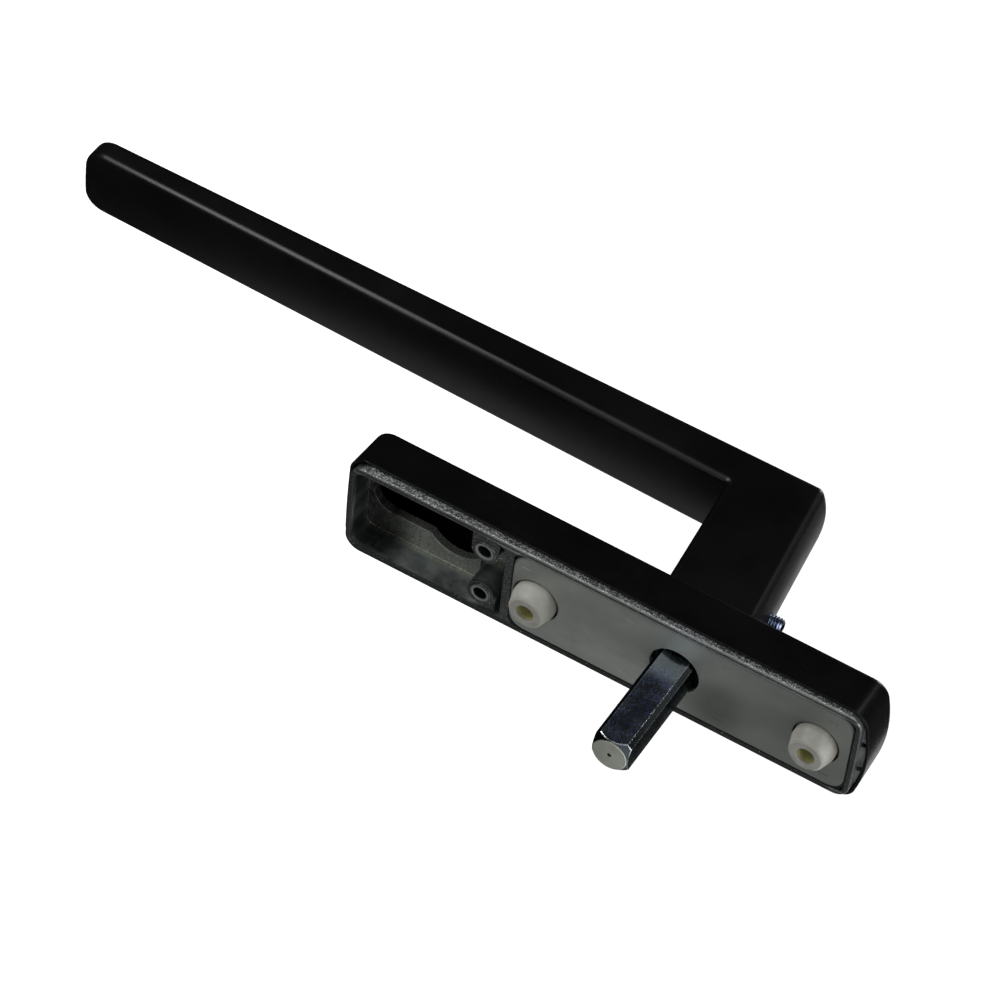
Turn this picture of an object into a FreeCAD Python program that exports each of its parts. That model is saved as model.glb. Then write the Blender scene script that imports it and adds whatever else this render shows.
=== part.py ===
import FreeCAD
import Part
import math
import os

# Lift-and-slide patio door handle, in millimetres.
# The origin is on the spindle axis, in the plane where the handle meets the door.
# +Y points into the door, so the room side is -Y. +Z is up along the rose.
# At rest the grip hangs down over the lock cylinder end of the rose.
# Depth means distance from the door plane into the room, so y is minus the depth.

# Square spindle that drives the sliding gear
SPINDLE_SIZE = 10.0
SPINDLE_CORNER_FLAT = 1.2
SPINDLE_REACH = 32.3
SPINDLE_END_GAP = 1.0
SPINDLE_FACE_RADIUS = 4.7
SPINDLE_CENTRE_MARK_RADIUS = 0.5
SPINDLE_CENTRE_MARK_DEPTH = 0.6
SPINDLE_CLEARANCE = 0.05

# Fixing screws and lock cylinder
SCREW_SPACING = 80.0
SCREW_HOLE_RADIUS = 2.6
CYLINDER_BELOW_SCREW = 28.0
CYLINDER_LOBE_RADIUS = 9.3
CYLINDER_TAB_HALF_WIDTH = 5.7
CYLINDER_TAB_REACH = 24.8

# Lever casting
LEVER_WIDTH = 21.2
NECK_GAP = 0.3
NECK_ABOVE_AXIS = 11.95
NECK_BELOW_AXIS = 12.8
NECK_UPPER_LEAN = 6.8
NECK_LOWER_LEAN = 5.1
GRIP_EDGE_DEPTH = 66.0
GRIP_THICKNESS = 12.2
GRIP_REAR_TAPER = 1.45
GRIP_REACH = 216.8
GRIP_END_RADIUS = 6.0
LEVER_OUTER_CROWN = 1.6
GRIP_REAR_CROWN = 1.0
NECK_INNER_RADIUS = 1.0
ELBOW_RADIUS = 2.6
LEVER_FRONT_EDGE_RADIUS = 2.2
LEVER_REAR_EDGE_RADIUS = 2.0

# Journal of the lever, with its socket for the spindle
JOURNAL_WALL = 3.0
JOURNAL_FLAT = 1.1
JOURNAL_STUB = 0.6
COLLAR_STEP = 1.7

# Grub screw that clamps the spindle in the lever
GRUB_RADIUS = 2.5
GRUB_CLEARANCE = 0.05
GRUB_ABOVE_FOOT = 12.0
GRUB_REACH = 15.8
GRUB_END_CHAMFER = 0.6
GRUB_SOCKET_SIZE = 2.5
GRUB_SOCKET_DEPTH = 3.0
SOCKET_PAST_GRUB = 18.6

# Bearing and index mechanism
BUSH_WALL = 1.5
BUSH_FLANGE_STEP = 1.45
BUSH_FLANGE = 0.6
BUSH_TAIL = 0.2
RUNNING_FIT = 0.05
CAM_WALL = 2.0
CAM_CORNER = 1.6
CAM_FIT = 0.05
AXIAL_PLAY = 0.1
SPRING_THICKNESS = 0.5
SPRING_SPACE = 2.9
SPRING_HOOK = 1.8
SPRING_GAP = 0.1
SPRING_PAST_CAM = 2.0
SPRING_OVERHANG = 2.2
SPRING_REST_WIDTH = 2.0
SPRING_STOP_GAP = 0.4
SPRING_SIDE_GAP = 0.2
THRUST_WASHER = 0.6
THRUST_WASHER_STEP = 2.0
RING_THICKNESS = 1.0
RING_GROOVE_DEPTH = 0.8
RING_BAND = 2.2
RING_GAP_HALF_ANGLE = 22.0
RING_EAR_RADIUS = 1.9
RING_EAR_HOLE_RADIUS = 0.8
JOURNAL_END_GAP = 0.6

# Base casting, the part of the rose that is screwed to the door
BASE_ABOVE_SCREW = 11.2
BASE_BELOW_CUTOUT = 3.1
BASE_DEPTH = 12.6
BASE_DRAFT = 4.2
BASE_CORNER_RADIUS = 4.5
BASE_END_BOW = 400.0
BASE_WALL = 1.7
BASE_END_WALL = 1.4
BASE_EDGE_RADIUS = 0.4
BEARING_WALL = 3.2
CHAMBER_WALL = 2.4
CHAMBER_END_MARGIN = 1.0
CHAMBER_CORNER_RADIUS = 3.0
PILLAR_WALL = 1.2
SCREW_HEAD_RADIUS = 5.2
SCREW_HEAD_DEPTH = 2.0

# Open compartment of the base around the lock cylinder
PARTITION_BELOW_SCREW = 7.3
PARTITION_THICKNESS = 2.3
CAVITY_SHALLOWER = 4.0
CAVITY_FLOOR = 2.4
CAVITY_CORNER_RADIUS = 3.0
CHANNEL_LENGTH = 10.9
CHANNEL_EXTRA_DEPTH = 1.4
BOSS_BELOW_PARTITION = 6.1
BOSS_FROM_WALL = 5.6
BOSS_BLOCK_LENGTH = 7.7
BOSS_HOLE_RADIUS = 2.0
BOSS_RING_RADIUS = 3.0
BOSS_RING_HEIGHT = 0.3
RECESSED_WEB_DEPTH = 1.5
DIAGONAL_RIB = 1.5

# Crush ribs at the top end of the base
CRUSH_RIB_REACH = 1.3
CRUSH_RIB_DEPTH = 2.3
CRUSH_RIB_END_DEPTH = 8.0
CRUSH_RIB_WIDTH = 7.5
CRUSH_RIB_GAP = 1.8
CRUSH_RIB_COUNT = 3

# Back plate
PLATE_THICKNESS = 1.5
PLATE_CLEARANCE = 0.1
PLATE_CORNER_RADIUS = 5.0
PLATE_POCKET_RADIUS = 2.5
PLATE_HOLE_MARGIN = 2.05
PLATE_LUG_MARGIN = 0.6
STAKE_LENGTH = 2.6
STAKE_WIDTH = 0.5
STAKE_DEPTH = 0.2
STAKE_FROM_WALL = 3.7
STAKE_FROM_SCREW = 3.5
STAKE_FROM_SPINDLE = 13.5

# Support lugs
LUG_RADIUS = 6.0
LUG_END_RADIUS = 5.0
LUG_HEIGHT = 5.4
LUG_EDGE = 0.6
LUG_SPIGOT_RADIUS = 3.9
LUG_SPIGOT_LENGTH = 3.0
LUG_SPIGOT_CLEARANCE = 0.1

# Cover
COVER_WALL = 0.8
COVER_CLEARANCE = 0.1
COVER_TOP_CLEARANCE = 0.4
COVER_BOTTOM_CLEARANCE = 0.5
COVER_FRONT_GAP = 1.7
COVER_EDGE_DEPTH = 1.8
COVER_SIDE_DRAFT = 4.2
COVER_TOP_DRAFT = 2.5
COVER_BOTTOM_DRAFT = 1.2
COVER_CORNER_RADIUS = 5.3
COVER_TOP_BOW = 46.6
COVER_BOTTOM_BOW = 350.0
COVER_FRONT_RADIUS = 1.6
COVER_TILT = 0.4
COVER_HOLE_CLEARANCE = 0.5

X_AXIS = FreeCAD.Vector(1, 0, 0)
Y_AXIS = FreeCAD.Vector(0, 1, 0)
Z_AXIS = FreeCAD.Vector(0, 0, 1)

# How far a cutting shape runs past what it cuts, and how far joined shapes sink into each other
PAST = 5.0
SINK = 0.5

# How near two places or two directions count as the same
SAME_PLACE = 0.01
SAME_DIRECTION = 1e-6

HEX_SIDES = 6

# Widths from the spindle outwards: each piece is as wide as the one inside it needs
JOURNAL_RADIUS = SPINDLE_SIZE / 2 + JOURNAL_WALL
JOURNAL_FLAT_HALF_WIDTH = JOURNAL_RADIUS - JOURNAL_FLAT
GROOVE_RADIUS = JOURNAL_RADIUS - RING_GROOVE_DEPTH
COLLAR_RADIUS = JOURNAL_RADIUS + COLLAR_STEP
BUSH_RADIUS = JOURNAL_RADIUS + RUNNING_FIT + BUSH_WALL
CAM_HALF_SIZE = JOURNAL_RADIUS + CAM_WALL
CAM_CORNER_RADIUS = CAM_HALF_SIZE + CAM_CORNER
CHAMBER_HALF_WIDTH = CAM_HALF_SIZE + SPRING_SPACE
BASE_HALF_WIDTH = CHAMBER_HALF_WIDTH + CHAMBER_WALL
INNER_HALF_WIDTH = BASE_HALF_WIDTH - BASE_WALL
SPRING_REST_DISTANCE = CAM_CORNER_RADIUS + SPRING_PAST_CAM
SPRING_HALF_LENGTH = SPRING_REST_DISTANCE + SPRING_OVERHANG
BOSS_OFFSET = INNER_HALF_WIDTH - BOSS_FROM_WALL

# Heights along the rose
SCREW_HEIGHTS = (SCREW_SPACING / 2, -SCREW_SPACING / 2)
BASE_TOP = SCREW_SPACING / 2 + BASE_ABOVE_SCREW
PLATE_TOP = BASE_TOP - BASE_WALL
PARTITION_TOP = -SCREW_SPACING / 2 - PARTITION_BELOW_SCREW
PLATE_BOTTOM = PARTITION_TOP
CAVITY_TOP = PARTITION_TOP - PARTITION_THICKNESS
BOSS_HEIGHT_ON_ROSE = CAVITY_TOP - BOSS_BELOW_PARTITION
CYLINDER_DISTANCE = SCREW_SPACING / 2 + CYLINDER_BELOW_SCREW
BASE_BOTTOM = -CYLINDER_DISTANCE - CYLINDER_TAB_REACH - BASE_BELOW_CUTOUT
CAVITY_BOTTOM = BASE_BOTTOM + BASE_END_WALL

# Depths from the door into the room
CAVITY_FLOOR_DEPTH = BASE_DEPTH - CAVITY_SHALLOWER
CHAMBER_FLOOR_DEPTH = BASE_DEPTH - BEARING_WALL
COVER_FRONT_DEPTH = BASE_DEPTH + COVER_FRONT_GAP + COVER_WALL
NECK_FOOT_DEPTH = COVER_FRONT_DEPTH + NECK_GAP
GRUB_DEPTH = NECK_FOOT_DEPTH + GRUB_ABOVE_FOOT
SPINDLE_SOCKET_DEPTH = GRUB_DEPTH + SOCKET_PAST_GRUB
GRIP_REAR_DEPTH = GRIP_EDGE_DEPTH - GRIP_THICKNESS
JOURNAL_END_DEPTH = PLATE_THICKNESS + JOURNAL_END_GAP
RING_REAR_DEPTH = JOURNAL_END_DEPTH + JOURNAL_STUB
WASHER_REAR_DEPTH = RING_REAR_DEPTH + RING_THICKNESS
CAM_REAR_DEPTH = WASHER_REAR_DEPTH + THRUST_WASHER
CAM_FRONT_DEPTH = CHAMBER_FLOOR_DEPTH - BUSH_TAIL - AXIAL_PLAY


def vector(x, y, z):
    return FreeCAD.Vector(x, y, z)


def block(x_range, depth_range, z_range):
    """Box between two x, two depths and two heights."""
    size = (x_range[1] - x_range[0], depth_range[1] - depth_range[0], z_range[1] - z_range[0])
    return Part.makeBox(*size, vector(x_range[0], -depth_range[1], z_range[0]))


def rod(radius, depth_range, x=0.0, z=0.0):
    """Cylinder along the spindle direction between two depths."""
    return Part.makeCylinder(radius, depth_range[1] - depth_range[0], vector(x, -depth_range[1], z), Y_AXIS)


def straight_edges(solid, axis):
    """Edges of a solid that run straight along an axis."""
    found = []
    for edge in solid.Edges:
        if isinstance(edge.Curve, Part.Line) and abs(abs(edge.Curve.Direction.dot(axis)) - 1) < SAME_DIRECTION:
            found.append(edge)
    return found


def rounded_block(half_width, depth_range, z_range, radius):
    """Box whose four edges through the door direction are rounded."""
    solid = block((-half_width, half_width), depth_range, z_range)
    return solid.makeFillet(radius, straight_edges(solid, Y_AXIS))


def plan_outline(half_width, low, high, corner, low_bow, high_bow, depth):
    """Outline across the door direction: straight sides, bowed ends and round corners."""
    def point(x, z):
        return vector(x, -depth, z)

    def end(tip, bow, way):
        arc_centre = tip - way * bow
        corner_x = half_width - corner
        rise = math.sqrt((bow - corner) ** 2 - corner_x ** 2)
        corner_z = arc_centre + way * rise
        lean = math.atan2(corner_x, rise)
        middle = (lean + math.pi / 2) / 2
        start = (half_width, corner_z)
        bend = (corner_x + corner * math.sin(middle), corner_z + way * corner * math.cos(middle))
        meet = (bow * math.sin(lean), arc_centre + way * bow * math.cos(lean))
        return start, bend, meet

    top_start, top_bend, top_meet = end(high, high_bow, 1)
    low_start, low_bend, low_meet = end(low, low_bow, -1)

    def mirrored(place):
        return point(-place[0], place[1])

    edges = [
        Part.LineSegment(point(*low_start), point(*top_start)).toShape(),
        Part.Arc(point(*top_start), point(*top_bend), point(*top_meet)).toShape(),
        Part.Arc(point(*top_meet), point(0, high), mirrored(top_meet)).toShape(),
        Part.Arc(mirrored(top_meet), mirrored(top_bend), mirrored(top_start)).toShape(),
        Part.LineSegment(mirrored(top_start), mirrored(low_start)).toShape(),
        Part.Arc(mirrored(low_start), mirrored(low_bend), mirrored(low_meet)).toShape(),
        Part.Arc(mirrored(low_meet), point(0, low), point(*low_meet)).toShape(),
        Part.Arc(point(*low_meet), point(*low_bend), point(*low_start)).toShape(),
    ]
    return Part.Wire(edges)


def tapered_block(half_width, ends, corner, bows, drafts, depths):
    """Block with bowed ends whose sides, low end and high end move in with the depth."""
    wires = []
    for depth in depths:
        side, low, high = [drafted(angle, depth - depths[0]) for angle in drafts]
        wires.append(plan_outline(half_width - side, ends[0] + low, ends[1] - high, corner, *bows, depth))
    return Part.makeLoft(wires, True, True)


def ordered(first, second):
    """Two ends of a range, the lower one first."""
    return min(first, second), max(first, second)


def drafted(angle, length):
    """How much a face drafted by an angle in degrees moves in over a length."""
    return math.tan(math.radians(angle)) * length


def chamfered_bar(half_size, corner_flat, depth_range):
    """Square bar with flattened corners, along the spindle axis."""
    span = (-half_size, half_size)
    bar = block(span, depth_range, span)
    return bar.makeChamfer(corner_flat, straight_edges(bar, Y_AXIS))


def revolved(profile):
    """Solid turned about the spindle direction from (radius, y) points."""
    points = [vector(radius, y, 0) for radius, y in profile]
    face = Part.Face(Part.makePolygon(points + points[:1]))
    return face.revolve(vector(0, 0, 0), Y_AXIS, 360)


def end_edges(solid, y):
    """Edges that lie in one plane across the spindle direction."""
    found = []
    for edge in solid.Edges:
        box = edge.BoundBox
        if abs(box.YMin - y) < SAME_PLACE and abs(box.YMax - y) < SAME_PLACE:
            found.append(edge)
    return found


def spindle():
    """Square bar with its free end turned to a cone and a centre mark."""
    half = SPINDLE_SIZE / 2
    bar = chamfered_bar(half, SPINDLE_CORNER_FLAT, (-SPINDLE_REACH, SPINDLE_SOCKET_DEPTH - SPINDLE_END_GAP))
    corner = math.hypot(half, half)
    cone_length = corner - SPINDLE_FACE_RADIUS
    turned = revolved([
        (0, -SPINDLE_SOCKET_DEPTH),
        (corner, -SPINDLE_SOCKET_DEPTH),
        (corner, SPINDLE_REACH - cone_length),
        (SPINDLE_FACE_RADIUS, SPINDLE_REACH),
        (0, SPINDLE_REACH),
    ])
    mark = Part.makeCone(
        SAME_PLACE, SPINDLE_CENTRE_MARK_RADIUS, SPINDLE_CENTRE_MARK_DEPTH,
        vector(0, SPINDLE_REACH - SPINDLE_CENTRE_MARK_DEPTH, 0), Y_AXIS)
    return bar.common(turned).cut(mark)


def neck_height(depth, foot_height, lean):
    """Height of a leaning neck face at a depth."""
    return foot_height - (depth - NECK_FOOT_DEPTH) * math.tan(math.radians(lean))


def crowned_side(crown, tilt, depth, height):
    """Everything inside one crowned long face of the lever, which passes a depth and a height."""
    half = LEVER_WIDTH / 2
    reach = GRIP_REACH + GRIP_EDGE_DEPTH
    arc = Part.Arc(vector(half, -reach, 0), vector(0, -reach, crown), vector(-half, -reach, 0))
    rest = Part.makePolygon([
        vector(-half, -reach, 0),
        vector(-half, -reach, -reach),
        vector(half, -reach, -reach),
        vector(half, -reach, 0),
    ])
    solid = Part.Face(Part.Wire([arc.toShape()] + rest.Edges)).extrude(Y_AXIS * (2 * reach))
    solid.rotate(vector(0, 0, 0), X_AXIS, tilt)
    return solid.translated(vector(0, -depth, height))


def neck_bar():
    """Neck between its lower face and whatever bounds the lever's outside."""
    top = NECK_ABOVE_AXIS + PAST
    past = GRIP_EDGE_DEPTH + PAST
    outline = [
        (NECK_FOOT_DEPTH, top),
        (past, top),
        (past, neck_height(past, -NECK_BELOW_AXIS, NECK_LOWER_LEAN)),
        (NECK_FOOT_DEPTH, -NECK_BELOW_AXIS),
    ]
    points = [vector(-LEVER_WIDTH / 2, -depth, z) for depth, z in outline]
    return Part.Face(Part.makePolygon(points + points[:1])).extrude(X_AXIS * LEVER_WIDTH)


def lever_blank():
    """Neck and grip between their crowned faces, with sharp edges but a rounded free end."""
    front = crowned_side(LEVER_OUTER_CROWN, 90, GRIP_EDGE_DEPTH, 0)
    upper = crowned_side(LEVER_OUTER_CROWN, NECK_UPPER_LEAN, NECK_FOOT_DEPTH, NECK_ABOVE_AXIS)
    rear = crowned_side(GRIP_REAR_CROWN, -90 - GRIP_REAR_TAPER, GRIP_REAR_DEPTH, 0)
    outside = front.common(upper).common(grip_plan())
    return outside.common(rear.fuse(neck_bar())).removeSplitter()


def grip_plan():
    """Front view of the lever, with the rounded corners of the free end."""
    half = LEVER_WIDTH / 2
    solid = block((-half, half), (0, GRIP_EDGE_DEPTH + PAST), (-GRIP_REACH, NECK_ABOVE_AXIS + PAST))
    corners = [e for e in straight_edges(solid, Y_AXIS) if e.CenterOfMass.z < 0]
    return solid.makeFillet(GRIP_END_RADIUS, corners)


def across_edges(solid, outer):
    """Edges that run across the lever where neck and grip meet, on the outside or the inside."""
    found = []
    for edge in solid.Edges:
        centre = edge.CenterOfMass
        deep = -centre.y > (GRIP_EDGE_DEPTH if outer else NECK_FOOT_DEPTH + PAST)
        near = (centre.z > 0) == outer and centre.z > -2 * NECK_BELOW_AXIS
        if deep and near and abs(centre.x) < SAME_PLACE:
            found.append(edge)
    return found


def lever_chains(solid):
    """Edges round the room side of the lever, and those round its door side."""
    front, rear = [], []
    half = LEVER_WIDTH / 2
    room_half = GRIP_EDGE_DEPTH - GRIP_THICKNESS / 4
    for edge in solid.Edges:
        centre = edge.CenterOfMass
        box = edge.BoundBox
        across = box.XMax - box.XMin
        at_side = abs(abs(centre.x) - half) < SAME_PLACE and across < SAME_PLACE
        at_end = box.ZMax < -GRIP_REACH + GRIP_END_RADIUS + SAME_PLACE
        straight = across < SAME_PLACE and box.ZMax - box.ZMin < SAME_PLACE
        at_foot = -box.YMin < NECK_FOOT_DEPTH + SAME_PLACE
        if at_foot or (straight and at_end) or not (at_side or at_end):
            continue
        room_side = -centre.y > room_half or centre.z > NECK_INNER_RADIUS
        (front if room_side else rear).append(edge)
    return front, rear


def lever_body():
    """Neck, elbow and grip as one casting, before machining."""
    body = lever_blank().Solids[0]
    body = body.makeFillet(ELBOW_RADIUS, across_edges(body, True))
    body = body.makeFillet(NECK_INNER_RADIUS, across_edges(body, False))
    front, rear = lever_chains(body)
    body = body.makeFillet(LEVER_FRONT_EDGE_RADIUS, front)
    front, rear = lever_chains(body)
    return body.makeFillet(LEVER_REAR_EDGE_RADIUS, rear)


def journal_section(clearance, depth_range):
    """Round journal with two flats, which the index cam sits on."""
    barrel = rod(JOURNAL_RADIUS + clearance, depth_range)
    flat = JOURNAL_FLAT_HALF_WIDTH + clearance
    return barrel.common(block((-flat, flat), depth_range, (-JOURNAL_RADIUS - PAST, JOURNAL_RADIUS + PAST)))


def lever():
    """Lever casting with its collar, journal, spindle socket and grub screw hole."""
    bush_front = BASE_DEPTH + BUSH_FLANGE + AXIAL_PLAY
    collar = rod(COLLAR_RADIUS, (bush_front, NECK_FOOT_DEPTH))
    journal = rod(JOURNAL_RADIUS, (CAM_FRONT_DEPTH, bush_front))
    tail = journal_section(0.0, (JOURNAL_END_DEPTH, CAM_FRONT_DEPTH))
    body = lever_body().multiFuse([collar, journal, tail])
    groove = rod(JOURNAL_RADIUS + PAST, (RING_REAR_DEPTH, WASHER_REAR_DEPTH))
    groove = groove.cut(rod(GROOVE_RADIUS, (RING_REAR_DEPTH, WASHER_REAR_DEPTH)))
    socket = chamfered_bar(SPINDLE_SIZE / 2 + SPINDLE_CLEARANCE, SPINDLE_CORNER_FLAT, (0, SPINDLE_SOCKET_DEPTH))
    screw_hole = Part.makeCylinder(GRUB_RADIUS, NECK_ABOVE_AXIS + PAST, vector(0, -GRUB_DEPTH, 0), Z_AXIS)
    return body.cut([groove, socket, screw_hole]).removeSplitter()


def grub_screw():
    """Set screw with a hex socket, standing proud of the neck."""
    radius = GRUB_RADIUS - GRUB_CLEARANCE
    start = SPINDLE_SIZE / 2
    length = GRUB_REACH - start
    shank = Part.makeCylinder(radius, length, vector(0, -GRUB_DEPTH, start), Z_AXIS)
    ends = [e for e in shank.Edges if isinstance(e.Curve, Part.Circle)]
    shank = shank.makeChamfer(GRUB_END_CHAMFER, ends)
    corner = GRUB_SOCKET_SIZE / 2 / math.cos(math.pi / HEX_SIDES)
    floor = GRUB_REACH - GRUB_SOCKET_DEPTH
    points = []
    for side in range(HEX_SIDES + 1):
        angle = 2 * math.pi * side / HEX_SIDES
        points.append(vector(corner * math.cos(angle), corner * math.sin(angle) - GRUB_DEPTH, floor))
    hexagon = Part.Face(Part.makePolygon(points)).extrude(Z_AXIS * (GRUB_SOCKET_DEPTH + PAST))
    return shank.cut(hexagon)


def boss_block(side, web_depth):
    """Screw boss that grows out of a long wall of the base, with a raised ring."""
    radius = BOSS_BLOCK_LENGTH / 2
    x = side * BOSS_OFFSET
    end = CAVITY_FLOOR_DEPTH + CAVITY_FLOOR
    web = block(
        ordered(x, side * (INNER_HALF_WIDTH + SINK)), (web_depth, end),
        (BOSS_HEIGHT_ON_ROSE - radius, BOSS_HEIGHT_ON_ROSE + radius))
    barrel = rod(radius, (BOSS_RING_HEIGHT, end), x, BOSS_HEIGHT_ON_ROSE)
    ring = rod(BOSS_RING_RADIUS, (0, BOSS_RING_HEIGHT + SINK), x, BOSS_HEIGHT_ON_ROSE)
    return web.multiFuse([barrel, ring])


def diagonal_rib():
    """Thin rib from the upper boss to the partition."""
    start = BOSS_HEIGHT_ON_ROSE + BOSS_BLOCK_LENGTH / 2 - SINK
    end = CAVITY_TOP + SINK
    low = BOSS_OFFSET - DIAGONAL_RIB
    high = INNER_HALF_WIDTH - DIAGONAL_RIB
    outline = [(low, start), (low + DIAGONAL_RIB, start), (high + DIAGONAL_RIB, end), (high, end)]
    points = [vector(x, -CAVITY_FLOOR_DEPTH - CHANNEL_EXTRA_DEPTH, z) for x, z in outline]
    height = CAVITY_FLOOR_DEPTH + CHANNEL_EXTRA_DEPTH - BOSS_RING_HEIGHT
    return Part.Face(Part.makePolygon(points + points[:1])).extrude(Y_AXIS * height)


def cylinder_cutout():
    """Opening for a profile lock cylinder: a round lobe with a narrower tab below."""
    depths = (CAVITY_FLOOR_DEPTH - SINK, BASE_DEPTH + PAST)
    tab_end = -CYLINDER_DISTANCE - CYLINDER_TAB_REACH + CYLINDER_TAB_HALF_WIDTH
    lobe = rod(CYLINDER_LOBE_RADIUS, depths, 0, -CYLINDER_DISTANCE)
    tab = block((-CYLINDER_TAB_HALF_WIDTH, CYLINDER_TAB_HALF_WIDTH), depths, (tab_end, -CYLINDER_DISTANCE))
    return lobe.multiFuse([tab, rod(CYLINDER_TAB_HALF_WIDTH, depths, 0, tab_end)])


def spring_rests():
    """Ribs in the chamber that carry and stop the ends of the leaf springs."""
    ribs = []
    outer = CAM_HALF_SIZE + SPRING_GAP + SPRING_THICKNESS
    depths = (CAM_REAR_DEPTH, CHAMBER_FLOOR_DEPTH + SINK)
    stop = SPRING_HALF_LENGTH + SPRING_STOP_GAP
    for side in (-1, 1):
        wall = side * (CHAMBER_HALF_WIDTH + SINK)
        for end in (-1, 1):
            rest = ordered(end * (SPRING_REST_DISTANCE - SPRING_REST_WIDTH), end * SPRING_REST_DISTANCE)
            ribs.append(block(ordered(side * outer, wall), depths, rest))
            halt = ordered(end * stop, end * (stop + SPRING_REST_WIDTH))
            ribs.append(block(ordered(side * CAM_HALF_SIZE, wall), depths, halt))
    return ribs


def crush_ribs():
    """Ribs on the top end wall that centre the cover, cut to a shallow arch."""
    tip = BASE_TOP + CRUSH_RIB_REACH
    depths = (CRUSH_RIB_DEPTH, CRUSH_RIB_END_DEPTH)
    outline = plan_outline(
        BASE_HALF_WIDTH, BASE_BOTTOM, tip, BASE_CORNER_RADIUS, BASE_END_BOW, COVER_TOP_BOW - COVER_WALL, depths[1])
    arch = Part.Face(outline).extrude(Y_AXIS * (depths[1] - depths[0]))
    ribs = []
    for place in range(CRUSH_RIB_COUNT):
        middle = (place - (CRUSH_RIB_COUNT - 1) / 2) * (CRUSH_RIB_WIDTH + CRUSH_RIB_GAP)
        span = (middle - CRUSH_RIB_WIDTH / 2, middle + CRUSH_RIB_WIDTH / 2)
        ribs.append(block(span, depths, (PLATE_TOP + BASE_WALL / 2, tip)).common(arch))
    return ribs


def base_hollows():
    """Everything that the casting leaves open."""
    narrow = drafted(BASE_DRAFT, BASE_DEPTH)
    plate_ends = (PLATE_BOTTOM - PLATE_CLEARANCE, PLATE_TOP + PLATE_CLEARANCE)
    chamber_ends = (PLATE_BOTTOM + CHAMBER_END_MARGIN, PLATE_TOP - CHAMBER_END_MARGIN)
    cavity_ends = (CAVITY_BOTTOM, CAVITY_TOP)
    channel_depths = (CAVITY_FLOOR_DEPTH - SINK, CAVITY_FLOOR_DEPTH + CHANNEL_EXTRA_DEPTH)
    return [
        rounded_block(INNER_HALF_WIDTH, (-PAST, PLATE_THICKNESS), plate_ends, PLATE_POCKET_RADIUS),
        rounded_block(CHAMBER_HALF_WIDTH, (-PAST, CHAMBER_FLOOR_DEPTH), chamber_ends, CHAMBER_CORNER_RADIUS),
        rounded_block(INNER_HALF_WIDTH, (-PAST, CAVITY_FLOOR_DEPTH), cavity_ends, CAVITY_CORNER_RADIUS),
        block((-INNER_HALF_WIDTH, INNER_HALF_WIDTH), channel_depths, (CAVITY_TOP - CHANNEL_LENGTH, CAVITY_TOP)),
        rounded_block(
            INNER_HALF_WIDTH - narrow, (CAVITY_FLOOR_DEPTH + CAVITY_FLOOR, BASE_DEPTH + PAST), cavity_ends,
            CAVITY_CORNER_RADIUS),
    ]


def screw_passages():
    """Holes for the two fixing screws, their heads and the spigots of the lugs."""
    tools = []
    spigot = LUG_SPIGOT_RADIUS + LUG_SPIGOT_CLEARANCE
    spigot_end = PLATE_THICKNESS + LUG_SPIGOT_LENGTH
    for height in SCREW_HEIGHTS:
        tools.append(rod(SCREW_HOLE_RADIUS, (0, BASE_DEPTH + PAST), 0, height))
        tools.append(rod(SCREW_HEAD_RADIUS, (BASE_DEPTH - SCREW_HEAD_DEPTH, BASE_DEPTH + PAST), 0, height))
        tools.append(rod(spigot, (0, spigot_end), 0, height))
    return tools


def base():
    """Die-cast base: rim, partition, lock cylinder compartment and index chamber."""
    drafts = (BASE_DRAFT, COVER_BOTTOM_DRAFT, COVER_TOP_DRAFT)
    shell = tapered_block(
        BASE_HALF_WIDTH, (BASE_BOTTOM, BASE_TOP), BASE_CORNER_RADIUS, (BASE_END_BOW, BASE_END_BOW), drafts,
        (0, BASE_DEPTH))
    shell = shell.makeFillet(BASE_EDGE_RADIUS, end_edges(shell, 0))
    shell = shell.cut(base_hollows())
    pillar = SCREW_HEAD_RADIUS + PILLAR_WALL
    additions = [rod(pillar, (PLATE_THICKNESS, BASE_DEPTH - SINK), 0, z) for z in SCREW_HEIGHTS]
    additions += [boss_block(1, BOSS_RING_HEIGHT), boss_block(-1, RECESSED_WEB_DEPTH), diagonal_rib()]
    shell = shell.multiFuse(additions + spring_rests() + crush_ribs())
    openings = [rod(BUSH_RADIUS, (0, BASE_DEPTH + PAST)), cylinder_cutout()]
    for x in (BOSS_OFFSET, -BOSS_OFFSET):
        openings.append(rod(BOSS_HOLE_RADIUS, (-PAST, BASE_DEPTH), x, BOSS_HEIGHT_ON_ROSE))
    return shell.cut(openings + screw_passages()).removeSplitter()


def back_plate():
    """Sheet that closes the index chamber, flush with the rim."""
    plate = rounded_block(
        INNER_HALF_WIDTH - PLATE_CLEARANCE, (0, PLATE_THICKNESS), (PLATE_BOTTOM, PLATE_TOP), PLATE_CORNER_RADIUS)
    through = (-PAST, PLATE_THICKNESS + PAST)
    tools = [rod(SPINDLE_SIZE / 2 + PLATE_HOLE_MARGIN, through)]
    tools += [rod(LUG_RADIUS + PLATE_LUG_MARGIN, through, 0, height) for height in SCREW_HEIGHTS]
    stake_middle = INNER_HALF_WIDTH - STAKE_FROM_WALL
    stake = (stake_middle - STAKE_WIDTH / 2, stake_middle + STAKE_WIDTH / 2)
    for distance in (STAKE_FROM_SPINDLE, SCREW_SPACING / 2 + STAKE_FROM_SCREW):
        for middle in (distance, -distance):
            ends = (middle - STAKE_LENGTH / 2, middle + STAKE_LENGTH / 2)
            tools.append(block(stake, (-PAST, STAKE_DEPTH), ends))
            tools.append(block((-stake[1], -stake[0]), (-PAST, STAKE_DEPTH), ends))
    return plate.cut(tools)


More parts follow.
